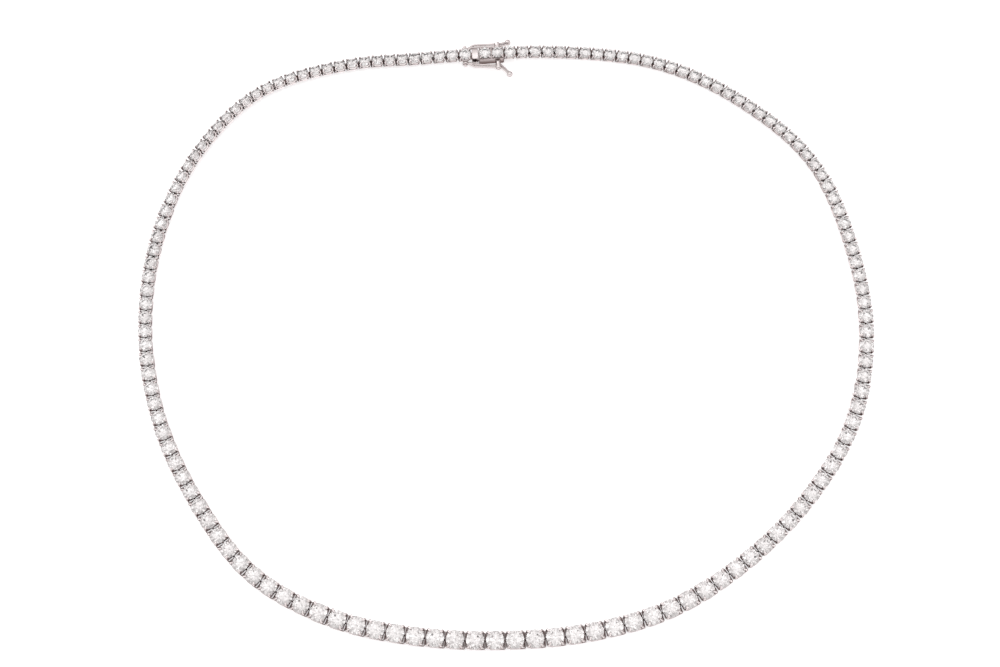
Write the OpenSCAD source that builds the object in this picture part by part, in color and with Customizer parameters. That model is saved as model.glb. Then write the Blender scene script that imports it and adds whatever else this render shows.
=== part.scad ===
// Graduated line necklace of round brilliants, closed and lying on a flat surface.
// X runs to the right, Y towards the clasp at the back, Z up. Millimetres.
// Each link is a four-claw basket: a square hinge bar at its start and an eye at its end,
// and the eye of every link closes round the hinge bar of the next one.

/* [Route] */
// Distance from the middle to the hinge line, every 15 degrees anticlockwise from the right
route_radius = [72.2, 72.5, 73.0, 70.2, 67.2, 63.3, 60.7, 61.75,
                67.0, 72.8, 73.9, 73.3, 72.1, 70.7, 69.4, 69.0,
                66.1, 62.9, 61.4, 62.0, 63.8, 65.4, 67.9, 70.9]; // [50:0.1:90]
// Angle at which the clasp starts, from which the links run clockwise
route_start = 99.2; // [95:0.1:105]
// Sideways shift that centres the necklace on the origin
route_shift_x = -0.03; // [-3:0.01:3]
// Shift towards the clasp that centres the necklace on the origin
route_shift_y = -0.57; // [-3:0.01:3]
// Outward tilt of the links in degrees: [angle round the loop, tilt]
tilt_by_angle = [[0, 0], [22, 0], [35, 7], [49, 7], [65, 0], [99, 0], [110, 16], [122, 23],
                 [134, 30], [148, 30], [162, 14], [176, 0], [360, 0]]; // [0:1:360]

/* [Graduation] */
// Link sizes from the clasp to the front: [length, links on the right, links on the left]
link_sizes = [[2.63, 28, 28],
              [2.88, 10, 11],
              [3.12, 5, 5],
              [3.33, 5, 5],
              [3.50, 7, 4],
              [3.62, 3, 5]]; // [2:0.01:5]
// Length of each of the largest links, across the front
front_size = 3.83; // [3:0.01:5]
// Number of the largest links
front_count = 21; // [11:2:31]
// Links on each side of the clasp that hold no separate stone
bare_links = 17; // [0:1:28]

/* [Stones] */
// Diameter of a stone as a share of its link's length
stone_share = 0.88; // [0.82:0.01:0.88]
// Crown height as a share of the stone's diameter
crown_share = 0.15; // [0.1:0.01:0.2]
// Pavilion depth as a share of the stone's diameter
pavilion_share = 0.43; // [0.38:0.01:0.46]
// Table width as a share of the stone's diameter
table_share = 0.57; // [0.5:0.01:0.65]
// Free space between a stone and its setting
stone_gap = 0.1; // [0.06:0.01:0.15]

/* [Baskets] */
// Thickness of the claws as a share of the link length
claw_share = 0.125; // [0.12:0.005:0.16]
// Direction of the claws from the chain line
claw_angle = 47; // [45:1:50]
// Distance of the claw feet from the middle as a share of the link length
foot_share = 0.36; // [0.3:0.01:0.4]
// Height of the girdle above the feet, beyond half the stone's diameter
girdle_rise = 0.4; // [0.35:0.01:0.6]
// Reach of the claw tips over the stone's edge as a share of the link length
tip_share = 0.06; // [0.04:0.01:0.08]
// Height of the gallery rails as a share of the girdle's height
gallery_share = 0.67; // [0.62:0.01:0.7]
// Thickness of the gallery rails as a share of the link length
rail_share = 0.07; // [0.05:0.005:0.08]
// Distance of the rail across a basket's end from its middle as a share of the link length
end_rail_place = 0.425; // [0.41:0.005:0.43]
// Height of that rail as a share of the girdle's height
end_rail_share = 0.8; // [0.78:0.01:0.82]

/* [Hinges] */
// Height of the hinge line above the feet
hinge_height = 0.5; // [0.48:0.01:0.6]
// Thickness of the square hinge bar and the base frame
bar_size = 0.26; // [0.2:0.01:0.28]
// Distance of the base frame's long sides from the chain line as a share of the link length
frame_share = 0.41; // [0.38:0.01:0.42]
// Radius of the hole in each eye
eye_bore = 0.31; // [0.3:0.01:0.33]
// Outer radius of each eye
eye_radius = 0.46; // [0.42:0.01:0.48]
// Thickness of each eye across the chain
eye_width = 0.34; // [0.2:0.01:0.5]

/* [Clasp] */
// Width of the clasp box
box_width = 2.5; // [2.4:0.1:2.8]
// Height of the clasp box without its stones
box_height = 2.35; // [2.2:0.05:2.6]
// Wall of the clasp box
box_wall = 0.3; // [0.25:0.05:0.4]
// Length of the gap in which the thumb tab stands
tab_length = 1.55; // [1.4:0.05:1.8]
// Stones on top of the box; one more stands in a basket at its end
box_stones = 2; // [2:1:2]
// Height by which the clasp carries its neighbours off the surface
clasp_lift = 1.1; // [0.8:0.1:1.2]
// Length of chain on each side that comes down from the clasp
clasp_slope = 14; // [12:1:20]
// Thickness of the plate under the clasp's stones
seat_plate = 0.5; // [0.4:0.05:0.6]
// Height of the girdles above the clasp box
seat_rise = 0.5; // [0.4:0.05:0.6]
// Radius of the holes under the clasp's stones
seat_bore = 0.68; // [0.64:0.01:0.7]
// Depth by which parts that are soldered on are rooted in what carries them
solder_root = 0.15; // [0.1:0.05:0.3]
// Height of the opening that takes the tongue
mouth_height = 1.25; // [1.2:0.05:1.3]

/* [Tongue] */
// Thickness of the spring tongue's leaves and of the thumb tab
leaf = 0.28; // [0.2:0.01:0.3]
// Width of the spring tongue
tongue_width = 1.5; // [1:0.1:1.5]
// Free height under the tongue
leaf_clear = 0.25; // [0.2:0.05:0.3]
// Outer radius of the fold at the tongue's end
fold_radius = 0.43; // [0.4:0.01:0.45]
// Free length beyond the fold
fold_clear = 0.3; // [0.2:0.1:1]
// Distance of the tongue's web from the last stone's link
web_gap = 0.1; // [0.05:0.05:0.3]
// Distance of the tab's stem from the box
stem_gap = 0.3; // [0.2:0.05:0.4]
// Gap between the step on the tongue and the wall that holds it
step_gap = 0.12; // [0.1:0.01:0.3]
// Length of the step on the tongue
step_length = 0.9; // [0.6:0.1:1.2]
// Height of the step on the tongue
step_height = 0.3; // [0.2:0.05:0.3]
// Width of the thumb tab
tab_width = 2.4; // [1.6:0.1:2.6]
// Corner radius of the thumb tab
tab_corner = 0.3; // [0.2:0.05:0.5]
// Free length on each side of the thumb tab
tab_gap = 0.12; // [0.1:0.01:0.2]
// Height of the thumb tab above the top of the box
tab_rise = 0.1; // [0.05:0.01:0.2]

/* [Safety catches] */
// Distance of the inner face of each catch from the chain line
catch_inner = 1.4; // [1.35:0.01:1.5]
// Thickness of the hook at the end of each catch
hook_width = 0.45; // [0.4:0.01:0.5]
// Distance of the front catch's outer face from the chain line, at its pivot
reach_front = 3.2; // [2.6:0.05:3.3]
// Distance of the back catch's outer face from the chain line, at its pivot
reach_back = 2.65; // [2.6:0.05:3.3]
// Radius of the two wires of each catch
wire_radius = 0.21; // [0.18:0.01:0.22]
// Radius of the cross bar that joins the wires to the hook's arm
bar_radius = 0.25; // [0.24:0.01:0.26]
// Distance between the middles of the two wires
wire_spacing = 0.52; // [0.44:0.01:0.6]
// Distance of the tail wires from the line between them, in the ball
wire_split = 0.22; // [0.21:0.01:0.22]
// Distance from the middle of the stud to the end of the arm in the hook
hook_wire = 0.45; // [0.43:0.01:0.46]
// Position along the clasp of the cross bar between the hook's arm and the two wires
bar_at = 2.5; // [2.5:0.1:3.5]
// Distance of the cross bar's outer end from the chain line
bar_reach = 2.65; // [2.5:0.05:2.7]
// Depth from the arm's or a wire's end to the middle of the cross bar
bar_root = 0.05; // [0.03:0.01:0.06]
// Position of the catch pivot along the clasp
pivot_at = 8.15; // [7.5:0.05:8.3]
// Height of the catch pivot and of the studs
pivot_height = 1.6; // [1.5:0.05:1.8]
// Radius of the pivot pins
pin_radius = 0.26; // [0.2:0.01:0.3]
// Free space round each pivot pin
pin_gap = 0.05; // [0.03:0.01:0.08]
// Radius of the heads on the pivot pins
head_radius = 0.38; // [0.36:0.01:0.4]
// Height of the heads on the pivot pins
head_height = 0.2; // [0.15:0.05:0.3]
// Distance of the balls on the studs from the chain line
stud_reach = 2.1; // [2.1:0.05:2.2]
// Radius of the balls on the studs
stud_ball = 0.34; // [0.3:0.01:0.36]
// Free space between a stud and its hook
hook_gap = 0.08; // [0.08:0.01:0.12]
// Outer radius of the hooks
hook_radius = 0.64; // [0.55:0.01:0.7]
// Outer radius of the pivot eyes
catch_eye = 0.6; // [0.58:0.01:0.7]
// Depth by which the wires are rooted in the pivot eyes
wire_root = 0.08; // [0.06:0.01:0.1]
// Distance of the outer wires from the outer faces of the pivot eyes
wire_inset = 0.05; // [0.03:0.01:0.06]
// Length of the catch tails beyond the pivot
tail_length = 2.3; // [2:0.1:3]
// Distance of the ball on the front tail from the chain line
tail_reach_front = 4.2; // [3.8:0.1:4.4]
// Distance of the ball on the back tail from the chain line
tail_reach_back = 3.1; // [3:0.1:4.4]
// Radius of the balls on the catch tails
tail_ball = 0.6; // [0.5:0.01:0.6]
// Height of the balls on the catch tails above the surface
tail_clear = 0.05; // [0:0.01:0.2]

/* [Hidden] */
silver = [0.86, 0.83, 0.82];
gem = [0.93, 0.95, 0.97];
crown_angle = atan(2 * crown_share / (1 - table_share));
$fn = 24;

// Each size of link, from the clasp clockwise to the front and back to the clasp
function run(length, count) = [for (i = [1:1:count]) length];
right_half = [for (size = link_sizes) each run(size[0], size[1])];
left_half = [for (i = [len(link_sizes) - 1:-1:0]) each run(link_sizes[i][0], link_sizes[i][2])];
lengths = concat(right_half, run(front_size, front_count), left_half);
link_count = len(lengths);
clasp_pitch = link_sizes[0][0];
clasp_length = clasp_pitch + tab_length + (box_stones + 1) * clasp_pitch;
// Link that stands at the middle of the front, where the two halves of the chain meet
half_count = len(right_half) + (front_count + 1) / 2;

// Distance of joint j from the start of the clasp, along the chain
joint_at = [for (j = 0, s = clasp_length;
                 j <= link_count;
                 s = s + (j < link_count ? lengths[j] : 0), j = j + 1) s];
chain_length = joint_at[link_count];

// Smooth closed curve through the route's radii
knots = len(route_radius);
function blend(a, b, c, d, u) =
    (2 * b + (c - a) * u + (2 * a - 5 * b + 4 * c - d) * u * u + (3 * b - a - 3 * c + d) * u * u * u) / 2;
function radius_at(angle) =
    let (place = (angle + 720) % 360 * knots / 360, i = floor(place))
    blend(route_radius[(i + knots - 1) % knots], route_radius[i % knots],
          route_radius[(i + 1) % knots], route_radius[(i + 2) % knots], place - i);
function plain_point(angle) = radius_at(angle) * [cos(angle), sin(angle)];

// Distance walked clockwise along the curve against the angle, scaled to the chain's length
samples = 720;
sample_angle = [for (i = [0:samples]) route_start - i * 360 / samples];
sample_step = [for (i = [0:samples])
    i < samples ? norm(plain_point(sample_angle[i + 1]) - plain_point(sample_angle[i])) : 0];
walked = [for (i = 0, s = 0; i <= samples; s = s + sample_step[i], i = i + 1) s];
route_fit = chain_length / walked[samples];
angle_by_walk = [for (i = [0:samples]) [walked[i] * route_fit, sample_angle[i]]];
function angle_at(s) = lookup(s, angle_by_walk);
function route_point(s) = route_fit * plain_point(angle_at(s)) + [route_shift_x, route_shift_y];
function tilt_at(s) = lookup((angle_at(s) + 720) % 360, tilt_by_angle);

// Sizes of the basket of a link of length p
function stone_r(p) = stone_share * p / 2;
function claw_t(p) = claw_share * p;
function girdle_z(p) = stone_r(p) + girdle_rise;
function foot_r(p) = foot_share * p;
function shoulder_r(p) = stone_r(p) + stone_gap + claw_t(p) / 2;
function post_r(p, z) = foot_r(p) + (shoulder_r(p) - foot_r(p)) * z / girdle_z(p);
function post_x(p, z) = post_r(p, z) * cos(claw_angle);
function post_y(p, z) = post_r(p, z) * sin(claw_angle);
function foot_edge_y(p) = (foot_r(p) + claw_t(p) / 2) * sin(claw_angle) + claw_t(p) / 2 * cos(claw_angle);

// Height of a joint: the lower edge of a tilted basket rests on the surface, and the clasp lifts
// its neighbours
function clasp_away(s) = min(s, chain_length - s, abs(s - clasp_length));
function lift_at(s) = clasp_lift * (1 + cos(180 * min(1, clasp_away(s) / clasp_slope))) / 2;
function rest_height(p, tilt) = hinge_height * cos(tilt) + foot_edge_y(p) * sin(tilt);
function joint_point(j) =
    let (s = joint_at[j], p = lengths[min(j, link_count - 1)], xy = route_point(s))
    [xy[0], xy[1], rest_height(p, tilt_at(s)) + lift_at(s)];

// Moves a part made round the middle of link i to its place in the chain
module at_link(i) {
    a = joint_point(i);
    b = joint_point(i + 1);
    v = b - a;
    tilt = tilt_at((joint_at[i] + joint_at[i + 1]) / 2);
    translate((a + b) / 2)
        rotate([-tilt, -asin(v[2] / norm(v)), atan2(v[1], v[0])])
            translate([0, 0, -hinge_height])
                children();
}

// Moves a part made along the clasp, from its first hinge line, to its place
module at_clasp() {
    a = route_point(0);
    b = route_point(clasp_length);
    translate([a[0], a[1], 0])
        rotate([0, 0, atan2(b[1] - a[1], b[0] - a[0])])
            children();
}

// Round rod from a to b
module rod(a, b, r) {
    v = b - a;
    translate(a)
        rotate([0, acos(v[2] / norm(v)), atan2(v[1], v[0])])
            cylinder(h = norm(v), r = r);
}

// Four claws from height z0, each a leaning shank whose tip bends in over the stone's edge
module claws(p, z0) {
    t = claw_t(p);
    girdle = girdle_z(p);
    tip_r = stone_r(p) - tip_share * p;
    tip_z = girdle + tip_share * p * tan(crown_angle) + stone_gap / cos(crown_angle);
    outline = [[post_r(p, z0) - t / 2, z0],
               [post_r(p, z0) + t / 2, z0],
               [shoulder_r(p) + t / 2, girdle + tip_share * p],
               [tip_r, tip_z + tip_share * p],
               [tip_r, tip_z],
               [stone_r(p) + stone_gap, girdle + stone_gap]];
    for (sx = [-1, 1], sy = [-1, 1])
        rotate([0, 0, atan2(sy * sin(claw_angle), sx * cos(claw_angle))])
            translate([0, t / 2, 0])
                rotate([90, 0, 0])
                    linear_extrude(t)
                        polygon(outline);
}

// Basket of one stone: claws, gallery rails along its sides and across the end that has the eye,
// and a base frame that reaches out to the hinge bar
module basket(p) {
    rail = rail_share * p;
    rail_z = gallery_share * girdle_z(p);
    end_z = end_rail_share * girdle_z(p);
    bar_x = post_x(p, hinge_height);
    bar_y = frame_share * p;
    claws(p, 0);
    for (side = [-1, 1])
        translate([0, side * post_y(p, rail_z), rail_z])
            cube([2 * post_x(p, rail_z), rail, rail], center = true);
    translate([end_rail_place * p, 0, end_z])
        cube([rail, 2 * post_y(p, end_z), rail], center = true);
    translate([0, 0, hinge_height - bar_size / 2])
        linear_extrude(bar_size)
            difference() {
                translate([-p / 2 - bar_size / 2, -bar_y - bar_size / 2])
                    square([p / 2 + bar_x + bar_size, 2 * bar_y + bar_size]);
                translate([-p / 2 + bar_size / 2, -bar_y + bar_size / 2])
                    square([p / 2 + bar_x - bar_size, 2 * bar_y - bar_size]);
            }
}

// Eye whose arm starts at x0 and whose hole is centred at x1, at height z
module eye(x0, x1, z) {
    translate([0, eye_width / 2, z])
        rotate([90, 0, 0])
            linear_extrude(eye_width)
                difference() {
                    union() {
                        translate([x1, 0])
                            circle(r = eye_radius);
                        translate([x0, -bar_size / 2])
                            square([x1 - x0, bar_size]);
                    }
                    translate([x1, 0])
                        circle(r = eye_bore);
                }
}

module link(p) {
    basket(p);
    eye(post_x(p, hinge_height), p / 2, hinge_height);
}

// Brilliant cut with an eight-sided table, a sixteen-sided girdle and a point below
module brilliant(p) {
    r = stone_r(p);
    table_r = table_share * r;
    table = [for (i = [0:7]) [table_r * cos(45 * i), table_r * sin(45 * i), 2 * crown_share * r]];
    girdle = [for (i = [0:15]) [r * cos(22.5 * i), r * sin(22.5 * i), 0]];
    point = [0, 0, -2 * pavilion_share * r];
    table_face = [for (i = [7:-1:0]) i];
    star_faces = [for (i = [0:7]) [i, (i + 1) % 8, 9 + 2 * i]];
    left_faces = [for (i = [0:7]) [i, 9 + 2 * i, 8 + 2 * i]];
    right_faces = [for (i = [0:7]) [(i + 1) % 8, 8 + (2 * i + 2) % 16, 9 + 2 * i]];
    pavilion_faces = [for (i = [0:15]) [8 + i, 8 + (i + 1) % 16, 24]];
    translate([0, 0, girdle_z(p)])
        polyhedron(concat(table, girdle, [point]),
                   concat([table_face], star_faces, left_faces, right_faces, pavilion_faces));
}

module links_right()
    color(silver)
        for (i = [0:half_count - 1])
            at_link(i) link(lengths[i]);

module links_left()
    color(silver)
        for (i = [half_count:link_count - 1])
            at_link(i) link(lengths[i]);

module stones_right()
    color(gem)
        for (i = [bare_links:half_count - 1])
            at_link(i) brilliant(lengths[i]);

module stones_left()
    color(gem)
        for (i = [half_count:link_count - 1 - bare_links])
            at_link(i) brilliant(lengths[i]);

// Places along the clasp, measured from its first hinge line, and heights above the surface
hinge_z = hinge_height + clasp_lift;
box_start = clasp_pitch + tab_length;
box_end = box_start + box_stones * clasp_pitch;
plate_z = box_height - seat_plate;
seat_z = box_height + seat_rise - girdle_z(clasp_pitch);
leaf_low = box_wall + leaf_clear;
fold_x = box_end - box_wall - fold_clear - fold_radius;
fold_z = leaf_low + fold_radius;
leaf_high = fold_z + fold_radius - leaf;
tab_z = box_height + tab_rise;
pin_root = box_width / 2 - box_wall / 2;
// Distance of the catch wires' ends from the pivot
wire_end = catch_eye - wire_root;
overcut = 1;

module at_box_stones()
    for (i = [0:box_stones - 1])
        translate([box_start + (i + 0.5) * clasp_pitch, 0, seat_z])
            children();

module stones_clasp()
    color(gem)
        at_clasp() {
            translate([clasp_pitch / 2, 0, clasp_lift])
                brilliant(clasp_pitch);
            at_box_stones()
                brilliant(clasp_pitch);
            translate([clasp_length - clasp_pitch / 2, 0, clasp_lift])
                brilliant(clasp_pitch);
        }

// Hollow box, open towards the tongue, with stones in claws on its top, a link soldered to its end
// and a pivot pin on each side
module clasp_box()
    color(silver)
        at_clasp() {
            difference() {
                translate([box_start, -box_width / 2, 0])
                    cube([box_end - box_start, box_width, box_height]);
                translate([box_start + box_wall, box_wall - box_width / 2, box_wall])
                    cube([box_end - box_start - 2 * box_wall, box_width - 2 * box_wall, plate_z - box_wall]);
                translate([box_start - overcut, box_wall - box_width / 2, box_wall])
                    cube([2 * overcut, box_width - 2 * box_wall, mouth_height]);
                at_box_stones()
                    translate([0, 0, plate_z - seat_z - overcut])
                        cylinder(h = seat_plate + 2 * overcut, r = seat_bore);
            }
            at_box_stones()
                claws(clasp_pitch, box_height - seat_z - solder_root);
            translate([clasp_length - clasp_pitch / 2, 0, clasp_lift])
                link(clasp_pitch);
            pivot_pin(-1, reach_front + pin_gap);
            pivot_pin(1, reach_back + pin_gap);
        }

// Pin of a safety catch on one side of the box, with its head from a distance of head_root
module pivot_pin(side, head_root)
    translate([pivot_at, 0, pivot_height])
        rotate([side * -90, 0, 0]) {
            translate([0, 0, pin_root])
                cylinder(h = head_root + head_height / 2 - pin_root, r = pin_radius);
            translate([0, 0, head_root])
                cylinder(h = head_height, r = head_radius);
        }

// Last link of the left side with its two studs, the folded spring tongue on its base plate, and
// the thumb tab
module clasp_tongue()
    color(silver)
        at_clasp() {
            translate([clasp_pitch / 2, 0, clasp_lift])
                basket(clasp_pitch);
            for (side = [-1, 1])
                translate([clasp_pitch / 2, 0, hinge_z])
                    rotate([side * -90, 0, 0]) {
                        translate([0, 0, post_y(clasp_pitch, hinge_height)])
                            cylinder(h = stud_reach - post_y(clasp_pitch, hinge_height), r = pin_radius);
                        translate([0, 0, stud_reach])
                            sphere(r = stud_ball);
                    }
            translate([0, tongue_width / 2, 0])
                rotate([90, 0, 0])
                    linear_extrude(tongue_width)
                        tongue_outline();
            translate([clasp_pitch + web_gap, -tab_width / 2, leaf_low])
                cube([tab_length - tab_gap - web_gap, tab_width, leaf]);
            translate([clasp_pitch + tab_gap, 0, tab_z])
                linear_extrude(leaf)
                    tab_outline();
        }

// Side view of the tongue: arm, web, lower leaf, fold, upper leaf with its step, and stem of the tab
module tongue_outline() {
    arm_x = clasp_pitch / 2 + post_x(clasp_pitch, hinge_height);
    web_x = clasp_pitch + web_gap;
    stem_x = box_start - stem_gap - leaf;
    translate([arm_x, hinge_z - bar_size / 2])
        square([web_x + leaf - arm_x, bar_size]);
    translate([web_x, leaf_low])
        square([leaf, hinge_z + bar_size / 2 - leaf_low]);
    translate([web_x, leaf_low])
        square([fold_x - web_x, leaf]);
    difference() {
        translate([fold_x, fold_z])
            circle(r = fold_radius);
        translate([fold_x, fold_z])
            circle(r = fold_radius - leaf);
        translate([fold_x - 2 * fold_radius, fold_z - fold_radius])
            square(2 * fold_radius);
    }
    translate([stem_x, leaf_high])
        square([fold_x - stem_x, leaf]);
    translate([stem_x, leaf_high])
        square([leaf, tab_z - leaf_high + leaf / 2]);
    translate([box_start + box_wall + step_gap, leaf_high + leaf])
        polygon([[0, 0], [step_length, 0], [0, step_height]]);
}

// Plan of the thumb tab, with round corners
module tab_outline() {
    length = tab_length - 2 * tab_gap;
    translate([0, -tab_width / 2 + tab_corner])
        square([length, tab_width - 2 * tab_corner]);
    translate([tab_corner, -tab_width / 2])
        square([length - 2 * tab_corner, tab_width]);
    for (x = [tab_corner, length - tab_corner], y = [-1, 1])
        translate([x, y * (tab_width / 2 - tab_corner)])
            circle(r = tab_corner);
}

// Safety catch on the side towards +Y: a hook over the stud with its arm, a cross bar, two wires side
// by side that run from it to the pivot eye, and two more from there to the ball on the tail
module catch(reach, tail_reach) {
    stud_x = clasp_pitch / 2;
    tail_end = [pivot_at + tail_length, tail_reach, tail_ball + tail_clear];
    translate([0, catch_inner + hook_width, 0])
        rotate([90, 0, 0])
            linear_extrude(hook_width)
                difference() {
                    translate([stud_x, pivot_height])
                        circle(r = hook_radius);
                    translate([stud_x, pivot_height])
                        circle(r = pin_radius + hook_gap);
                    translate([stud_x - pin_radius - hook_gap, pivot_height - 2 * hook_radius])
                        square([2 * (pin_radius + hook_gap), 2 * hook_radius]);
                }
    translate([pivot_at, reach, pivot_height])
        rotate([90, 0, 0])
            difference() {
                cylinder(h = reach - catch_inner, r = catch_eye);
                translate([0, 0, -overcut])
                    cylinder(h = reach - catch_inner + 2 * overcut, r = pin_radius + pin_gap);
            }
    rod([stud_x + hook_wire, catch_inner + hook_width / 2, pivot_height],
        [bar_at - bar_root, catch_inner + hook_width / 2, pivot_height], wire_radius);
    rod([bar_at, catch_inner, pivot_height], [bar_at, bar_reach, pivot_height], bar_radius);
    for (side = [-1, 1]) {
        off = wire_inset + wire_radius + (1 - side) / 2 * wire_spacing;
        rod([bar_at + bar_root, bar_reach - off, pivot_height],
            [pivot_at - wire_end, reach - off, pivot_height], wire_radius);
        rod([pivot_at + wire_end, reach - off, pivot_height],
            tail_end + [0, side * wire_split, 0], wire_radius);
    }
    translate(tail_end)
        sphere(r = tail_ball);
}

module catch_front()
    color(silver)
        at_clasp()
            mirror([0, 1, 0])
                catch(reach_front, tail_reach_front);

module catch_back()
    color(silver)
        at_clasp()
            catch(reach_back, tail_reach_back);

links_right();
links_left();
stones_right();
stones_left();
stones_clasp();
clasp_box();
clasp_tongue();
catch_front();
catch_back();
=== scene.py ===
import math
import random

import bmesh
import bpy
import numpy as np
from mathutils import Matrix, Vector


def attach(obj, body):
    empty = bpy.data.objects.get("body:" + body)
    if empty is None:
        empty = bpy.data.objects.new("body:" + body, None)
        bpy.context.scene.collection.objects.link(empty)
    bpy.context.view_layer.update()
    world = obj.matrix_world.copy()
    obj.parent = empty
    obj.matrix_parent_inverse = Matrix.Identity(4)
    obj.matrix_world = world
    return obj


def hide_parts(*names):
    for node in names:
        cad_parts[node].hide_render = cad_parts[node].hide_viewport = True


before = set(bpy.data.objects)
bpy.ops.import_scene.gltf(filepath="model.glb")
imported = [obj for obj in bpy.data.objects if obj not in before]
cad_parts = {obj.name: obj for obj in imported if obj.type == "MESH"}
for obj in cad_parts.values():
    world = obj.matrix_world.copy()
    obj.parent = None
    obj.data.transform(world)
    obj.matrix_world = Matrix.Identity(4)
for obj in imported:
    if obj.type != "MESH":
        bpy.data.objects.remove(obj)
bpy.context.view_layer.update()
MM = 0.001

# Route of the chain: distance from the middle to the hinge line, every 15 degrees
ROUTE_RADIUS = (72.2, 72.5, 73.0, 70.2, 67.2, 63.3, 60.7, 61.75, 67.0, 72.8, 73.9, 73.3,
                72.1, 70.7, 69.4, 69.0, 66.1, 62.9, 61.4, 62.0, 63.8, 65.4, 67.9, 70.9)
# Angle at which the clasp starts, and shift of the route's middle
ROUTE_START = 99.2
ROUTE_SHIFT = (-0.03, -0.57)
# Outward lean of the links in degrees, by angle round the route
TILT_BY_ANGLE = ((0, 0), (22, 0), (35, 7), (49, 7), (65, 0), (99, 0), (110, 16), (122, 23),
                 (134, 30), (148, 30), (162, 14), (176, 0), (360, 0))

# Link sizes from the clasp to the front: length, links on the right, links on the left
LINK_SIZES = ((2.63, 28, 28), (2.88, 10, 11), (3.12, 5, 5), (3.33, 5, 5), (3.50, 7, 4), (3.62, 3, 5))
FRONT_SIZE = 3.83
FRONT_COUNT = 21

# Baskets and hinges. Shares are of the link's length, apart from the stone's crown, pavilion and
# table, which are shares of its width, and the rails' places, which are shares of the girdle's height
STONE_SHARE = 0.88
CROWN_SHARE = 0.15
PAVILION_SHARE = 0.43
TABLE_SHARE = 0.57
STONE_GAP = 0.1
CLAW_SHARE = 0.125
CLAW_ANGLE = math.radians(47)
FOOT_SHARE = 0.36
FOOT_RAIL_BOW = 0.06
GIRDLE_RISE = 0.4
TIP_SHARE = 0.06
RAIL_PLACE = 0.67
RAIL_SHARE = 0.07
RAIL_BOW = 0.075
END_RAIL_PLACE = 0.8
END_RAIL_SHARE = 0.425
HINGE_HEIGHT = 0.5
BAR_SIZE = 0.26
FRAME_SHARE = 0.41
FRAME_CORNER = 0.22
EYE_BORE = 0.31
EYE_RADIUS = 0.46
EYE_WIDTH = 0.34

# Radii of the wires, as shares of the rail's size, of the claw's size at the feet, and of the
# hinge bar's size at the frame and the eye's arm; squash of the gallery rails
RAIL_WIRE = 0.85
RAIL_FLAT = 0.75
END_RAIL_WIRE = 0.55
FOOT_WIRE = 0.4
FRAME_WIRE = 0.54
ARM_WIRE = 0.55
# How far a wire's rounded end stands out, as a share of its radius
END_DOME = 0.55
# How far up a claw's wire starts, as a share of the claw's size
CLAW_START = 0.45

# Wire of a claw, below the girdle, at its shoulder and at its tip on the crown. The last number is
# its radius as a share of the claw's size. Below the girdle the first is the share of the way up,
# and above it the first two are the way in from the shoulder, or out from the tip, and the way up
CLAW_BELOW = ((0.0, 0.42), (0.3, 0.50), (0.7, 0.56))
CLAW_SHOULDER = ((0.0, 0.0, 0.58), (0.008, 0.045, 0.56), (0.045, 0.083, 0.52))
CLAW_TIP = ((0.03, 0.093, 0.46), (0.0, 0.090, 0.37))

# Brilliant: overlap with its seat, and as shares of its radius the girdle's height, the girdle's
# wave and where the lower halves end
STONE_SEAT = 0.05
GIRDLE_SHARE = 0.03
GIRDLE_WAVE = 0.012
LOWER_SHARE = 0.23

# Clasp, along its own axis from its first hinge line
PITCH = LINK_SIZES[0][0]
BOX_WIDTH = 2.5
BOX_HEIGHT = 2.35
BOX_WALL = 0.3
TAB_LENGTH = 1.55
BOX_STONES = 2
CLASP_LIFT = 1.1
CLASP_SLOPE = 14

# Box: softened edges, seats of its two stones with their collars, and the tongue's mouth
BOX_CORNER = 0.28
BOX_EDGE = 0.12
SEAT_PLATE = 0.5
SEAT_RISE = 0.5
SEAT_BORE = 0.68
COLLAR_RADIUS = 1.04
COLLAR_HEIGHT = 0.14
MOUTH_HEIGHT = 1.25

# Spring tongue: folded leaf with its step, and thumb tab
LEAF = 0.28
TONGUE_WIDTH = 1.5
LEAF_CLEAR = 0.25
FOLD_RADIUS = 0.43
FOLD_CLEAR = 0.3
WEB_GAP = 0.1
STEM_GAP = 0.3
STEP_GAP = 0.12
STEP_LENGTH = 0.9
STEP_HEIGHT = 0.3
TAB_WIDTH = 2.4
TAB_CORNER = 0.3
TAB_GAP = 0.12
TAB_RISE = 0.1
TAB_ARCH = 0.12
TAB_EDGE = 0.07

# Safety catches: hook, wires, pivot on its pin, stud and tail
CATCH_INNER = 1.4
HOOK_WIDTH = 0.45
REACH_FRONT = 3.2
REACH_BACK = 2.65
WIRE_RADIUS = 0.21
WIRE_SPACING = 0.52
BAR_AT = 2.5
BAR_REACH = 2.65
WIRE_SPLIT = 0.22
HOOK_WIRE = 0.45
WIRE_INSET = 0.05
PIVOT_AT = 8.15
PIVOT_HEIGHT = 1.6
PIN_RADIUS = 0.26
PIN_GAP = 0.05
HEAD_RADIUS = 0.38
HEAD_HEIGHT = 0.2
STUD_REACH = 2.1
STUD_BALL = 0.34
HOOK_GAP = 0.08
HOOK_RADIUS = 0.64
CATCH_EYE = 0.6
CATCH_EYE_EDGE = 0.12
CATCH_EYE_WAIST = 0.06
WIRE_ROOT = 0.08
TAIL_LENGTH = 2.3
TAIL_REACH_FRONT = 4.2
TAIL_REACH_BACK = 3.1
TAIL_BALL = 0.6
TAIL_BOW = 0.1
TAIL_CLEAR = 0.05
NECK_LENGTH = 0.9
NECK_ROOT = 1.35

# Where the painted dark slit of shade between two links starts, as a share of half a link's length
PAINTED_SLIT_START = 0.78
CLAW_PAINTED_SLIT_START = 0.86

# Painted shade on the metal from 0 to 1, where it isn't worked out from a gap's depth
EYE_PAINTED_SHADE = 0.9
SEAM_PAINTED_SHADE = 0.9
LEAF_PAINTED_SHADE = 0.1
BASE_PAINTED_SHADE = 0.2
BOX_WALL_PAINTED_SHADE = 0.25
BOX_TOP_PAINTED_SHADE = 0.6
COLLAR_PAINTED_SHADE = 0.35
CATCH_PAINTED_SHADE = 0.1

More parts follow.
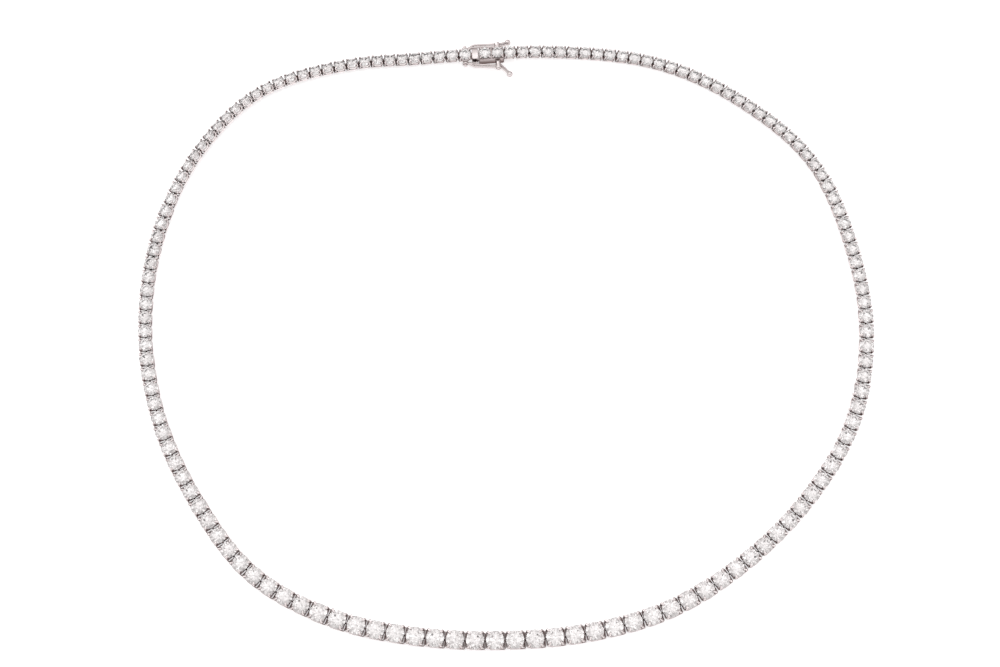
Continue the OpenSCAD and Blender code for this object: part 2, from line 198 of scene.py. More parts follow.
# Colours
GOLD_TONES = (0.72, 0.655, 0.65), (0.84, 0.79, 0.785)
# Painted dark rim where the metal turns away from the view, and painted shade colour for gaps and shaded
# parts
GOLD_PAINTED_RIM = (0.27, 0.215, 0.21)
GOLD_PAINTED_SHADE = (0.13, 0.085, 0.08)
GOLD_GLANCE = (0.36, 0.31, 0.305)
STONE_TONES = (0.835, 0.805, 0.80), (0.90, 0.88, 0.875)
DIAMOND_IOR = 2.417
FLOOR_TONES = (0.955, 0.955, 0.957), (0.965, 0.965, 0.967)
FLOOR_GLOW = 0.43
SKY_TONES = (1.03, 1.015, 1.015), (0.98, 0.97, 0.97)
PATCH_TONES = (1.08, 1.08, 1.08), (0.66, 0.64, 0.64)

# Floor in metres, and lights in metres and watts: place, width, height, power
FLOOR_REACH = 1.6
FLOOR_CELLS = 12
FLOOR_DROP = 0.00003
LIGHTS = {"light_above": ((0.0, 0.2, 0.75), 0.8, 0.9, 1.1),
          "light_back": ((-0.55, 0.6, 0.5), 0.5, 0.5, 1.1),
          "light_left": ((-0.75, 0.1, 0.40), 0.25, 0.5, 0.5),
          "light_right": ((0.75, 0.0, 0.45), 0.25, 0.5, 0.5),
          "light_front": ((0.0, -0.8, 0.35), 0.6, 0.15, 0.3)}

# Camera: lens and film, place, and tilt in degrees
LENS = 67.5
FILM_WIDTH = 36
CAMERA_PLACE = (-1.16, -110.25, 360.79)
CAMERA_TILT = 16.92


# Route of the hinge line

def run(length, count):
    """Lengths of a row of equal links."""
    return [length] * count


RIGHT_HALF = [p for size in LINK_SIZES for p in run(size[0], size[1])]
LEFT_HALF = [p for size in reversed(LINK_SIZES) for p in run(size[0], size[2])]
LENGTHS = RIGHT_HALF + run(FRONT_SIZE, FRONT_COUNT) + LEFT_HALF
LINK_COUNT = len(LENGTHS)
HALF_COUNT = len(RIGHT_HALF) + (FRONT_COUNT + 1) // 2
CLASP_LENGTH = PITCH + TAB_LENGTH + (BOX_STONES + 1) * PITCH
JOINT_AT = CLASP_LENGTH + np.concatenate([[0.0], np.cumsum(LENGTHS)])
CHAIN_LENGTH = JOINT_AT[-1]


def radius_at(angle):
    """Smooth closed curve through the route's radii, at an angle in degrees."""
    knots = len(ROUTE_RADIUS)
    place = (angle + 720) % 360 * knots / 360
    i = int(place)
    u = place - i
    a, b, c, d = (ROUTE_RADIUS[(i + k) % knots] for k in (-1, 0, 1, 2))
    return (2 * b + (c - a) * u + (2 * a - 5 * b + 4 * c - d) * u ** 2
            + (3 * b - a - 3 * c + d) * u ** 3) / 2


def plain_point(angle):
    turn = math.radians(angle)
    return radius_at(angle) * np.array([math.cos(turn), math.sin(turn)])


SAMPLES = 720
SAMPLE_ANGLE = ROUTE_START - np.arange(SAMPLES + 1) * 360 / SAMPLES
SAMPLE_POINT = np.array([plain_point(a) for a in SAMPLE_ANGLE])
WALKED = np.concatenate([[0.0], np.cumsum(np.linalg.norm(np.diff(SAMPLE_POINT, axis=0), axis=1))])
ROUTE_FIT = CHAIN_LENGTH / WALKED[-1]


def angle_at(s):
    return float(np.interp(s, WALKED * ROUTE_FIT, SAMPLE_ANGLE))


def route_point(s):
    return ROUTE_FIT * plain_point(angle_at(s)) + np.array(ROUTE_SHIFT)


def tilt_at(s):
    angles, tilts = zip(*TILT_BY_ANGLE)
    return float(np.interp((angle_at(s) + 720) % 360, angles, tilts))


# Sizes of the basket of a link of length p

def stone_r(p):
    return STONE_SHARE * p / 2


def claw_t(p):
    return CLAW_SHARE * p


def girdle_z(p):
    return stone_r(p) + GIRDLE_RISE


def foot_r(p):
    return FOOT_SHARE * p


def shoulder_r(p):
    return stone_r(p) + STONE_GAP + claw_t(p) / 2


def post_r(p, z):
    return foot_r(p) + (shoulder_r(p) - foot_r(p)) * z / girdle_z(p)


def post_x(p, z):
    return post_r(p, z) * math.cos(CLAW_ANGLE)


def post_y(p, z):
    return post_r(p, z) * math.sin(CLAW_ANGLE)


def foot_edge_y(p):
    half = claw_t(p) / 2
    return (foot_r(p) + half) * math.sin(CLAW_ANGLE) + half * math.cos(CLAW_ANGLE)


def lift_at(s):
    """How far the clasp carries the chain off the surface, at a distance along it."""
    away = min(s, CHAIN_LENGTH - s, abs(s - CLASP_LENGTH))
    return CLASP_LIFT * (1 + math.cos(math.pi * min(1, away / CLASP_SLOPE))) / 2


def joint_point(j):
    """Middle of hinge j. The first and the last are the clasp's."""
    s = JOINT_AT[j]
    p = LENGTHS[min(j, LINK_COUNT - 1)]
    tilt = math.radians(tilt_at(s))
    rest = HINGE_HEIGHT * math.cos(tilt) + foot_edge_y(p) * math.sin(tilt)
    return np.array([*route_point(s), rest + lift_at(s)])


# Frames of the links and of the clasp

def turn_about(axis, angle):
    """4x4 rotation about x, y or z by an angle in radians."""
    i, j = {"x": (1, 2), "y": (2, 0), "z": (0, 1)}[axis]
    m = np.eye(4)
    m[i, i] = m[j, j] = math.cos(angle)
    m[i, j] = -math.sin(angle)
    m[j, i] = math.sin(angle)
    return m


def moved(x, y, z):
    m = np.eye(4)
    m[:3, 3] = (x, y, z)
    return m


def at_link(i):
    """Frame of link i: x along the chain, z up through the stone, origin level with the feet."""
    a, b = joint_point(i), joint_point(i + 1)
    v = b - a
    tilt = math.radians(tilt_at((JOINT_AT[i] + JOINT_AT[i + 1]) / 2))
    return (moved(*(a + b) / 2) @ turn_about("z", math.atan2(v[1], v[0]))
            @ turn_about("y", -math.asin(v[2] / np.linalg.norm(v))) @ turn_about("x", -tilt)
            @ moved(0, 0, -HINGE_HEIGHT))


CLASP_A = route_point(0)
CLASP_B = route_point(CLASP_LENGTH)
AT_CLASP = moved(*CLASP_A, 0) @ turn_about("z", math.atan2(*(CLASP_B - CLASP_A)[::-1]))


# Parts of meshes

def circle_turns(count):
    return np.arange(count) * 2 * math.pi / count


def rise(value, start, stop):
    """0 up to start, 1 from stop on, and an even slope between them."""
    return np.clip((value - start) / (stop - start), 0, 1)


class Parts:
    """Vertices and faces of closed parts, gathered into one mesh, with a painted shade from 0 to 1 a point.
    """

    def __init__(self):
        self.points = []
        self.faces = []
        self.depth = []
        self.count = 0

    def add(self, points, faces, matrix=None, depth=0.0):
        points = np.asarray(points, float)
        if matrix is not None:
            points = points @ matrix[:3, :3].T + matrix[:3, 3]
        self.points.append(points)
        self.faces += [[k + self.count for k in face] for face in faces]
        self.depth.append(np.full(len(points), depth) if np.isscalar(depth) else np.asarray(depth))
        self.count += len(points)

    def build(self, name, body, replaced, slot, material, crease=None):
        mesh = bpy.data.meshes.new(name)
        mesh.from_pydata((np.vstack(self.points) * MM).tolist(), [], self.faces)
        skin = bmesh.new()
        skin.from_mesh(mesh)
        bmesh.ops.recalc_face_normals(skin, faces=skin.faces)
        skin.to_mesh(mesh)
        skin.free()
        mesh.materials.append(material)
        if crease is not None:
            mesh.polygons.foreach_set("use_smooth", [True] * len(mesh.polygons))
            mesh.set_sharp_from_angle(angle=math.radians(crease))
        layer = mesh.attributes.new("depth", "FLOAT", "POINT")
        layer.data.foreach_set("value", np.concatenate(self.depth).astype(np.float32))
        mesh.validate()
        piece = bpy.data.objects.new(name, mesh)
        bpy.context.collection.objects.link(piece)
        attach(piece, body)
        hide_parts(replaced)


def tube(path, radii, sides=8, closed=False, flat=1.0, up=(0, 0, 1)):
    """Round wire along a path. flat squeezes its section along the side that lies across up."""
    path = np.asarray(path, float)
    n = len(path)
    radii = np.full(n, radii) if np.isscalar(radii) else np.asarray(radii, float)
    if closed:
        ahead = np.roll(path, -1, 0) - np.roll(path, 1, 0)
    else:
        ahead = np.gradient(path, axis=0)
    ahead /= np.linalg.norm(ahead, axis=1)[:, None]
    side = np.cross(ahead, np.asarray(up, float))
    side /= np.linalg.norm(side, axis=1)[:, None]
    high = np.cross(side, ahead)
    turn = circle_turns(sides) + math.pi / sides
    points, faces = [], []
    for k in range(n):
        ring = (np.cos(turn)[:, None] * side[k] * flat + np.sin(turn)[:, None] * high[k]) * radii[k]
        points.append(path[k] + ring)
    points = np.vstack(points)
    for k in range(n if closed else n - 1):
        a, b = k * sides, (k + 1) % n * sides
        faces += [[a + i, a + (i + 1) % sides, b + (i + 1) % sides, b + i] for i in range(sides)]
    if not closed:
        extra = []
        for end, sign in ((0, -1), (n - 1, 1)):
            base = end * sides
            tip = len(points) + len(extra)
            extra.append(path[end] + sign * ahead[end] * radii[end] * END_DOME)
            for i in range(sides):
                face = [base + i, base + (i + 1) % sides, tip]
                faces.append(face[::-1] if sign < 0 else face)
        points = np.vstack([points, extra])
    return points, faces


def ball(centre, radius, around, rings):
    """Ball of flat rings between its lowest and its highest point."""
    points, faces = [[0, 0, -1]], []
    for k in range(1, rings):
        lat = -math.pi / 2 + math.pi * k / rings
        for i in range(around):
            lon = 2 * math.pi * i / around
            points.append([math.cos(lat) * math.cos(lon), math.cos(lat) * math.sin(lon), math.sin(lat)])
    points.append([0, 0, 1])
    top = len(points) - 1
    for i in range(around):
        j = (i + 1) % around
        faces.append([0, 1 + j, 1 + i])
        faces.append([top, 1 + (rings - 2) * around + i, 1 + (rings - 2) * around + j])
        for k in range(rings - 2):
            a, b = 1 + k * around, 1 + (k + 1) * around
            faces.append([a + i, a + j, b + j, b + i])
    return np.array(points) * radius + np.array(centre), faces


def plate(outline, z0, z1, bevel):
    """Prism over an anticlockwise outline with softened edges at both ends."""
    outline = np.asarray(outline, float)
    ahead = np.roll(outline, -1, 0) - np.roll(outline, 1, 0)
    inward = np.stack([-ahead[:, 1], ahead[:, 0]], 1)
    inward /= np.linalg.norm(inward, axis=1)[:, None]
    n = len(outline)
    levels = [(z0, 1), (z0 + bevel * 0.3, 0.3), (z0 + bevel, 0),
              (z1 - bevel, 0), (z1 - bevel * 0.3, 0.3), (z1, 1)]
    points = np.vstack([np.column_stack([outline + inward * bevel * share, np.full(n, z)])
                        for z, share in levels])
    faces = []
    for k in range(len(levels) - 1):
        a, b = k * n, (k + 1) * n
        faces += [[a + i, a + (i + 1) % n, b + (i + 1) % n, b + i] for i in range(n)]
    faces.append(list(range(n))[::-1])
    faces.append([(len(levels) - 1) * n + i for i in range(n)])
    return points, faces


def loft(rings):
    """Closed skin over rings that have the same number of points, capped at both ends."""
    rings = np.asarray(rings, float)
    n, m = rings.shape[:2]
    faces = [[k * m + i, k * m + (i + 1) % m, (k + 1) * m + (i + 1) % m, (k + 1) * m + i]
             for k in range(n - 1) for i in range(m)]
    faces.append(list(range(m))[::-1])
    faces.append([(n - 1) * m + i for i in range(m)])
    return rings.reshape(-1, 3), faces


def lathe(profile, around):
    """Ring turned about the z axis from a closed profile of (radius, height) points."""
    m = len(profile)
    points, faces = [], []
    for k in range(around):
        turn = 2 * math.pi * k / around
        points += [[r * math.cos(turn), r * math.sin(turn), z] for r, z in profile]
        a, b = k * m, (k + 1) % around * m
        faces += [[a + i, a + (i + 1) % m, b + (i + 1) % m, b + i] for i in range(m)]
    return np.array(points), faces


def ribbon(path, thick):
    """Outline of a strip of even thickness along an open path in a plane."""
    path = np.asarray(path, float)
    step = np.diff(path, axis=0)
    step /= np.linalg.norm(step, axis=1)[:, None]
    before = np.vstack([step[:1], step])
    after = np.vstack([step, step[-1:]])
    left_a = np.stack([-before[:, 1], before[:, 0]], 1)
    left_b = np.stack([-after[:, 1], after[:, 0]], 1)
    mitre = (left_a + left_b) / (1 + (left_a * left_b).sum(1))[:, None]
    return np.vstack([path - mitre * thick / 2, (path + mitre * thick / 2)[::-1]])


def rounded_box(x0, x1, y0, y1, corner, per_corner=4):
    """Anticlockwise outline of a rectangle with round corners."""
    points = []
    for cx, cy, start in ((x1 - corner, y1 - corner, 0), (x0 + corner, y1 - corner, 90),
                          (x0 + corner, y0 + corner, 180), (x1 - corner, y0 + corner, 270)):
        for k in range(per_corner + 1):
            turn = math.radians(start + 90 * k / per_corner)
            points.append([cx + corner * math.cos(turn), cy + corner * math.sin(turn)])
    return points


# Links

def claws(parts, p, z0, matrix):
    """Four round claws that lean out, bend at the girdle and end in a rounded tip on the crown."""
    t = claw_t(p)
    g = girdle_z(p)
    tip = stone_r(p) - TIP_SHARE * p
    below = [(z0 + share * (g - z0), radius) for share, radius in CLAW_BELOW]
    profile = [(post_r(p, z), z, radius) for z, radius in below]
    profile += [(shoulder_r(p) - inward * p, g + up * p, radius) for inward, up, radius in CLAW_SHOULDER]
    profile += [(tip + out * p, g + up * p, radius) for out, up, radius in CLAW_TIP]
    for sx in (-1, 1):
        for sy in (-1, 1):
            ux, uy = sx * math.cos(CLAW_ANGLE), sy * math.sin(CLAW_ANGLE)
            path = [[r * ux, r * uy, z] for r, z, _ in profile]
            points, faces = tube(path, [radius * t for _, _, radius in profile], up=(-uy, ux, 0))
            # Claws get painted shade where they stand in the gap between links
            parts.add(points, faces, matrix, painted_gap_shade(points, p, CLAW_PAINTED_SLIT_START))


def painted_gap_shade(points, p, painted_slit_start=PAINTED_SLIT_START):
    """Painted shade of a point, from 0 in the open to 1: low down in the gap between two links and under
    the stone, and along the slit where two links meet.
    """
    x = np.abs(points[:, 0]) / (p / 2)
    y = np.abs(points[:, 1]) / post_y(p, girdle_z(p))
    z = points[:, 2] / girdle_z(p)
    narrow = 1 - rise(y, 0.85, 1.15)
    low = 1 - rise(z, 0.53, 0.78)
    across = rise(x, 0.45, 0.80) * narrow
    inside = 0.35 * (1 - rise(np.hypot(x, y), 0.45, 0.75))
    painted_slit = rise(x, painted_slit_start, painted_slit_start + 0.05) * narrow * (1 - rise(z, 0.89, 0.97))
    return np.maximum(np.maximum(across, inside) * low, painted_slit)


def basket(parts, p, matrix):
    """Claws, bulged gallery rails, rails across the ends, hinge frame and foot rails of one link."""
    claws(parts, p, CLAW_START * claw_t(p), matrix)

    # Every wire of the basket gets painted shade in the gap between links
    def wire(path, radius, **form):
        points, faces = tube(path, radius, **form)
        parts.add(points, faces, matrix, painted_gap_shade(points, p))

    g = girdle_z(p)
    t = claw_t(p)
    rail = RAIL_SHARE * p
    rail_z, end_z = RAIL_PLACE * g, END_RAIL_PLACE * g
    bow = np.linspace(-1, 1, 11)
    for side in (-1, 1):
        out = post_y(p, rail_z) + RAIL_BOW * p * (1 - bow ** 2)
        wire(np.column_stack([bow * post_x(p, rail_z), side * out, rail_z + rail * (bow ** 2 - 0.5)]),
             RAIL_WIRE * rail, flat=RAIL_FLAT, up=(0, 1, 0))
        end_x, end_y = side * END_RAIL_SHARE * p, post_y(p, end_z)
        wire([[end_x, share * end_y, end_z] for share in bow], END_RAIL_WIRE * rail)
        foot_y = foot_r(p) * math.sin(CLAW_ANGLE) + FOOT_RAIL_BOW * p * (1 - bow ** 2)
        foot_x = bow * foot_r(p) * math.cos(CLAW_ANGLE)
        wire(np.column_stack([foot_x, side * foot_y, np.full(len(bow), 0.5 * t)]), FOOT_WIRE * t)
    half = FRAME_SHARE * p
    outline = rounded_box(-p / 2, post_x(p, HINGE_HEIGHT), -half, half, FRAME_CORNER, 3)
    wire([[x, y, HINGE_HEIGHT] for x, y in outline], FRAME_WIRE * BAR_SIZE, closed=True)


def eye(parts, x0, x1, z, matrix):
    """Flat ring round the next link's bar at x1, with an arm to it from x0."""
    middle = (EYE_BORE + EYE_RADIUS) / 2
    thick = (EYE_RADIUS - EYE_BORE) / 2
    ring = [[x1 + middle * math.cos(a), 0, z + middle * math.sin(a)] for a in circle_turns(14)]
    flat = thick / (EYE_WIDTH / 2)
    # Hinge eye and its arm are painted dark, as shade between the links
    parts.add(*tube(ring, EYE_WIDTH / 2, closed=True, flat=flat, up=(0, 1, 0)), matrix, EYE_PAINTED_SHADE)
    arm = [[x0, 0, z], [(x0 + x1 - middle) / 2, 0, z], [x1 - middle, 0, z]]
    parts.add(*tube(arm, ARM_WIRE * BAR_SIZE), matrix, EYE_PAINTED_SHADE)


def brilliant(parts, p, matrix, spin):
    """Brilliant cut: table, star, kite and girdle facets above, mains and lower halves below."""
    crown = 2 * CROWN_SHARE
    culet = -2 * PAVILION_SHARE
    half = math.radians(22.5)
    star_r = (TABLE_SHARE * math.cos(half) + 1) / 2
    star_z = crown * (1 - star_r * math.cos(half)) / (1 - TABLE_SHARE)
    lower_z = culet * (1 - LOWER_SHARE * math.cos(half))

    def ring(count, radius, z, offset=0.0):
        return [[radius * math.cos(turn + offset), radius * math.sin(turn + offset), z]
                for turn in circle_turns(count)]

    upper = ring(32, 1, 0)
    lower = ring(32, 1, -GIRDLE_SHARE)
    for k in range(1, 32, 2):
        upper[k][2] += GIRDLE_WAVE
        lower[k][2] -= GIRDLE_WAVE
    points = (ring(8, TABLE_SHARE, crown) + ring(8, star_r, star_z, half) + upper + lower
              + ring(8, LOWER_SHARE, lower_z - GIRDLE_SHARE, half) + [[0, 0, culet - GIRDLE_SHARE]])
    table, star, above, below, main, tip = 0, 8, 16, 48, 80, 88
    faces = [[table + i for i in range(8)]]
    for i in range(8):
        ahead, behind = (i + 1) % 8, (i + 7) % 8
        a = 4 * i
        b = (a + 4) % 32
        faces.append([table + i, star + i, table + ahead])
        faces.append([table + i, star + behind, above + a, star + i])
        faces.append([star + i, above + a, above + a + 1, above + a + 2])
        faces.append([star + i, above + a + 2, above + a + 3, above + b])
        faces.append([main + i, below + a + 2, below + a + 1, below + a])
        faces.append([main + i, below + b, below + a + 3, below + a + 2])
        faces.append([tip, main + i, below + a, main + behind])
    for k in range(32):
        m = (k + 1) % 32
        faces.append([above + k, below + k, below + m, above + m])
    place = matrix @ moved(0, 0, girdle_z(p)) @ turn_about("z", spin)
    parts.add(np.array(points) * (stone_r(p) + STONE_SEAT), faces, place)


def link(parts, p, matrix):
    basket(parts, p, matrix)
    eye(parts, post_x(p, HINGE_HEIGHT), p / 2, HINGE_HEIGHT, matrix)


# Clasp

# Stands an outline upright, along the clasp
ON_SIDE = turn_about("x", math.pi / 2)
HINGE_Z = HINGE_HEIGHT + CLASP_LIFT
BOX_START = PITCH + TAB_LENGTH
BOX_END = BOX_START + BOX_STONES * PITCH
PLATE_Z = BOX_HEIGHT - SEAT_PLATE
SEAT_Z = BOX_HEIGHT + SEAT_RISE - girdle_z(PITCH)
LEAF_LOW = BOX_WALL + LEAF_CLEAR
FOLD_X = BOX_END - BOX_WALL - FOLD_CLEAR - FOLD_RADIUS
FOLD_Z = LEAF_LOW + FOLD_RADIUS
LEAF_HIGH = FOLD_Z + FOLD_RADIUS - LEAF
TAB_Z = BOX_HEIGHT + TAB_RISE
STUD_X = PITCH / 2


def box_stone_x(i):
    return BOX_START + (i + 0.5) * PITCH


def cut_box():
    """Box with softened edges, hollow and open towards the tongue, with a hole under each stone."""
    sharp = 0.001

    def block(points, faces):
        mesh = bpy.data.meshes.new("block")
        mesh.from_pydata(np.asarray(points).tolist(), [], faces)
        made = bpy.data.objects.new("block", mesh)
        bpy.context.collection.objects.link(made)
        return made

    def prism(x0, x1, y0, y1, z0, z1):
        return block(*plate([[x0, y0], [x1, y0], [x1, y1], [x0, y1]], z0, z1, sharp))

    half = BOX_WIDTH / 2
    inner = half - BOX_WALL
    body = block(*plate(rounded_box(BOX_START, BOX_END, -half, half, BOX_CORNER), 0, BOX_HEIGHT, BOX_EDGE))
    tools = [prism(BOX_START + BOX_WALL, BOX_END - BOX_WALL, -inner, inner, BOX_WALL, PLATE_Z),
             prism(BOX_START - 1, BOX_START + 1, -inner, inner, BOX_WALL + 0.002, BOX_WALL + MOUTH_HEIGHT)]
    for i in range(BOX_STONES):
        turn = circle_turns(24)
        circle = np.column_stack([box_stone_x(i) + SEAT_BORE * np.cos(turn), SEAT_BORE * np.sin(turn)])
        tools.append(block(*plate(circle, PLATE_Z - 0.5, BOX_HEIGHT + 0.5, sharp)))
    for tool in tools:
        cut = body.modifiers.new("cut", "BOOLEAN")
        cut.operation, cut.object, cut.solver = "DIFFERENCE", tool, "EXACT"
    done = body.evaluated_get(bpy.context.evaluated_depsgraph_get()).to_mesh()
    points = np.array([v.co[:] for v in done.vertices])
    faces = [list(face.vertices) for face in done.polygons]
    for spare in tools + [body]:
        bpy.data.objects.remove(spare)
    return points, faces


def at_side(side, x, z):
    """Frame with its z axis pointing out of one side of the clasp, at height z and place x."""
    return AT_CLASP @ moved(x, 0, z) @ turn_about("x", -side * math.pi / 2)


def clasp_box_parts():
    """Box with the seats of its two stones, the basket at its end and the pins of the catches."""
    parts = Parts()
    points, faces = cut_box()
    # Painted shade: the box's top darker than its walls
    on_top = points[:, 2] >= BOX_HEIGHT - 0.1
    parts.add(points, faces, AT_CLASP, np.where(on_top, BOX_TOP_PAINTED_SHADE, BOX_WALL_PAINTED_SHADE))
    collar = [(COLLAR_RADIUS - 0.09, -0.1), (COLLAR_RADIUS, 0.0), (COLLAR_RADIUS, 0.1),
              (COLLAR_RADIUS - 0.12, COLLAR_HEIGHT), (SEAT_BORE + 0.02, 0.02), (SEAT_BORE + 0.02, -0.1)]
    for i in range(BOX_STONES):
        claws(parts, PITCH, BOX_HEIGHT - SEAT_Z - 0.15, AT_CLASP @ moved(box_stone_x(i), 0, SEAT_Z))
        # Collars painted darker, as shade round the stones
        parts.add(*lathe(collar, 32), AT_CLASP @ moved(box_stone_x(i), 0, BOX_HEIGHT), COLLAR_PAINTED_SHADE)
    link(parts, PITCH, AT_CLASP @ moved(CLASP_LENGTH - PITCH / 2, 0, CLASP_LIFT))
    for side, reach in ((-1, REACH_FRONT), (1, REACH_BACK)):
        root, top = BOX_WIDTH / 2 - 0.1, reach + PIN_GAP
        pin = [(PIN_RADIUS, root), (PIN_RADIUS, top), (HEAD_RADIUS, top), (HEAD_RADIUS, top + 0.07),
               (HEAD_RADIUS - 0.07, top + 0.14), (HEAD_RADIUS - 0.18, top + 0.185),
               (0.02, top + HEAD_HEIGHT), (0.02, root)]
        parts.add(*lathe(pin, 24), at_side(side, PIVOT_AT, PIVOT_HEIGHT))
    return parts


def clasp_tongue_parts():
    """Last basket with its two studs, folded leaf with its step, base plate and thumb tab."""
    parts = Parts()
    basket(parts, PITCH, AT_CLASP @ moved(STUD_X, 0, CLASP_LIFT))
    for side in (-1, 1):
        stud = at_side(side, STUD_X, HINGE_Z)
        root = post_y(PITCH, HINGE_HEIGHT)
        parts.add(*tube([[0, 0, root], [0, 0, STUD_REACH]], PIN_RADIUS, sides=14, up=(1, 0, 0)), stud)
        parts.add(*ball([0, 0, STUD_REACH], STUD_BALL, 20, 12), stud)
    bend = FOLD_RADIUS - LEAF / 2
    fold = [[FOLD_X + bend * math.sin(a), FOLD_Z - bend * math.cos(a)] for a in np.linspace(0, math.pi, 11)]
    arm_x = STUD_X + post_x(PITCH, HINGE_HEIGHT)
    web_x = PITCH + WEB_GAP + LEAF / 2
    stem_x = BOX_START - STEM_GAP - LEAF / 2
    path = ([[arm_x, HINGE_Z], [web_x, HINGE_Z], [web_x, LEAF_LOW + LEAF / 2]] + fold
            + [[stem_x, LEAF_HIGH + LEAF / 2], [stem_x, TAB_Z + 0.05]])
    strip = AT_CLASP @ ON_SIDE
    wide = TONGUE_WIDTH / 2
    points, faces = plate(ribbon(path, LEAF), -wide, wide, 0.05)
    # Painted shade: dark at the seam by the web, faint on the rest of the leaf
    at_seam = points[:, 0] < PITCH + WEB_GAP + LEAF + 0.05
    parts.add(points, faces, strip, np.where(at_seam, SEAM_PAINTED_SHADE, LEAF_PAINTED_SHADE))
    step_x = BOX_START + BOX_WALL + STEP_GAP
    step_z = LEAF_HIGH + LEAF - 0.05
    wedge = [[step_x, step_z], [step_x + STEP_LENGTH, step_z], [step_x, step_z + STEP_HEIGHT]]
    parts.add(*plate(wedge, -wide + 0.05, wide - 0.05, 0.03), strip)
    base = rounded_box(PITCH + WEB_GAP, BOX_START - TAB_GAP, -TAB_WIDTH / 2, TAB_WIDTH / 2, 0.15, 3)
    # Base plate painted dark as the shade under the tab
    parts.add(*plate(base, LEAF_LOW, LEAF_LOW + LEAF, 0.05), AT_CLASP, BASE_PAINTED_SHADE)
    points, faces = tab()
    # Painted shade, darker towards the back half of the tab
    painted_dark = np.clip(points[:, 1] / 2 + 0.1, 0, 0.25)
    parts.add(points, faces, AT_CLASP @ moved(PITCH + TAB_GAP, 0, TAB_Z), painted_dark)
    return parts


def tab():
    """Thumb tab: a plate with round corners, arched across the clasp and softened at its edges."""
    length = TAB_LENGTH - 2 * TAB_GAP
    half = TAB_WIDTH / 2
    steps = [0, 0.02, 0.07, 0.14, 0.22, 0.32]
    across = np.linspace(-1, 1, 13)
    edge = np.where(np.abs(across) > 0.99, TAB_EDGE, 0)
    rings = []
    for x in steps + [0.5 * length] + [length - step for step in reversed(steps)]:
        near = min(x, length - x)
        inset = TAB_CORNER - math.sqrt(max(0, TAB_CORNER ** 2 - max(0, TAB_CORNER - near) ** 2))
        thin = max(0, TAB_EDGE - near) * 0.8
        y = across * (half - inset - 0.3 * TAB_EDGE)
        arch = TAB_ARCH * (1 - (y / half) ** 2)
        upper = np.column_stack([np.full(len(y), x), y, LEAF + arch - thin - edge])
        under = np.column_stack([np.full(len(y), x), y, arch * 0.6 + thin + edge * 0.6])
        rings.append(np.vstack([under, upper[::-1]]))
    return loft(rings)


def catch_parts(side, reach, tail_reach):
    """Safety catch: open hook over the stud, two bent wires, pivot eye, and a tail with a ball."""
    parts = Parts()
    place = AT_CLASP @ np.diag([1, side, 1, 1])
    middle = CATCH_INNER + HOOK_WIDTH / 2
    hook_r = (PIN_RADIUS + HOOK_GAP + HOOK_RADIUS) / 2
    thick = (HOOK_RADIUS - PIN_RADIUS - HOOK_GAP) / 2
    open_half = math.asin((PIN_RADIUS + HOOK_GAP + thick * 0.9) / hook_r)
    turn = np.linspace(-math.pi / 2 + open_half, 1.5 * math.pi - open_half, 19)
    hook = [[STUD_X + hook_r * math.cos(a), middle, PIVOT_HEIGHT + hook_r * math.sin(a)] for a in turn]
    foot_z = PIVOT_HEIGHT - HOOK_RADIUS + thick
    hook = [[hook[0][0], middle, foot_z]] + hook + [[hook[-1][0], middle, foot_z]]
    parts.add(*tube(hook, HOOK_WIDTH / 2, sides=12, flat=thick / (HOOK_WIDTH / 2), up=(0, 1, 0)), place)

    def wire(start, end, bow=0.0):
        along = np.linspace(0, 1, 11)[:, None]
        path = np.array(start) + (np.array(end) - start) * along
        path[:, 1] -= bow * np.sin(math.pi * along[:, 0])
        parts.add(*tube(path, WIRE_RADIUS, sides=12), place)

    def neck(end_y):
        """Bent wire from the hook's middle out to the place of one straight wire."""
        along = np.linspace(0, 1, 13)
        x = STUD_X + HOOK_WIRE + (BAR_AT + NECK_LENGTH - STUD_X - HOOK_WIRE) * along
        y = middle + (end_y - middle) * (3 * along ** 2 - 2 * along ** 3)
        radii = WIRE_RADIUS * (NECK_ROOT - (NECK_ROOT - 1) * along)
        parts.add(*tube(np.column_stack([x, y, PIVOT_HEIGHT + 0 * x]), radii, sides=12), place)

    wire_end = CATCH_EYE - WIRE_ROOT
    ball_at = np.array([PIVOT_AT + TAIL_LENGTH, tail_reach, TAIL_BALL + TAIL_CLEAR])
    for split in (-1, 1):
        off = WIRE_INSET + WIRE_RADIUS + (1 - split) / 2 * WIRE_SPACING
        start_y = BAR_REACH - off + (reach - BAR_REACH) * NECK_LENGTH / (PIVOT_AT - wire_end - BAR_AT)
        neck(start_y)
        start = [BAR_AT + NECK_LENGTH, start_y, PIVOT_HEIGHT]
        wire(start, [PIVOT_AT - wire_end, reach - off, PIVOT_HEIGHT])
        start = [PIVOT_AT + wire_end, reach - off, PIVOT_HEIGHT]
        wire(start, ball_at + [0, split * WIRE_SPLIT, 0], TAIL_BOW)
    pivot = place @ moved(PIVOT_AT, 0, PIVOT_HEIGHT) @ turn_about("x", -math.pi / 2)
    hole, rim, soft = PIN_RADIUS + PIN_GAP, CATCH_EYE, CATCH_EYE_EDGE
    profile = [(hole, CATCH_INNER), (rim - soft, CATCH_INNER), (rim - 0.3 * soft, CATCH_INNER + 0.3 * soft),
               (rim, CATCH_INNER + soft), (rim - CATCH_EYE_WAIST, (CATCH_INNER + reach) / 2),
               (rim, reach - soft), (rim - 0.3 * soft, reach - 0.3 * soft), (rim - soft, reach),
               (hole, reach)]
    parts.add(*lathe(profile, 28), pivot)
    parts.add(*ball(ball_at, TAIL_BALL, 24, 14), place)
    # Whole catch painted a little darker, as shade
    parts.depth = [painted_dark + CATCH_PAINTED_SHADE for painted_dark in parts.depth]
    return parts


# Materials

def new_material(name):
    made = bpy.data.materials.new(name)
    made.use_nodes = True
    tree = made.node_tree
    return made, tree, tree.nodes["Principled BSDF"]


